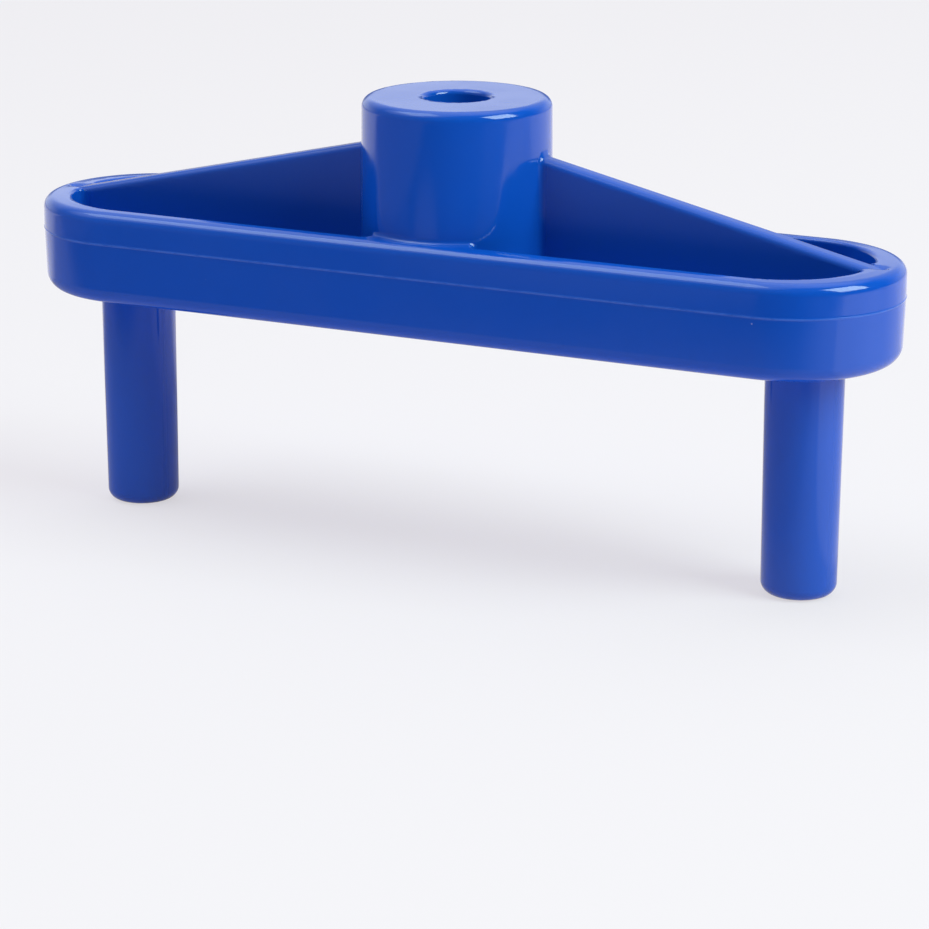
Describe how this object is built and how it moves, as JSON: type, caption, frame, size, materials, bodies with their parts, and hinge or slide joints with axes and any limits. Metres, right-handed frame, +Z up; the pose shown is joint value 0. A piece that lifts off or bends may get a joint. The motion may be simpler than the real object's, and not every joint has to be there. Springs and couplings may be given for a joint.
{
  "type": "center marking gauge",
  "caption": "One-piece plastic center marking gauge: a long open frame on two round legs, with a central pencil boss tied to the frame by sloping webs.",
  "frame": {"origin": "on the surface the leg tips stand on, midway between the legs", "axes": "+X along the frame from leg to leg, +Y across the frame to its back, +Z up along the pencil bore"},
  "size_m": [0.1342, 0.032, 0.0668],
  "materials": {
    "blue_plastic": "polished moulded plastic, royal blue"
  },
  "bodies": {
    "root": {"gauge_body": "blue_plastic"}
  },
  "joints": []
}
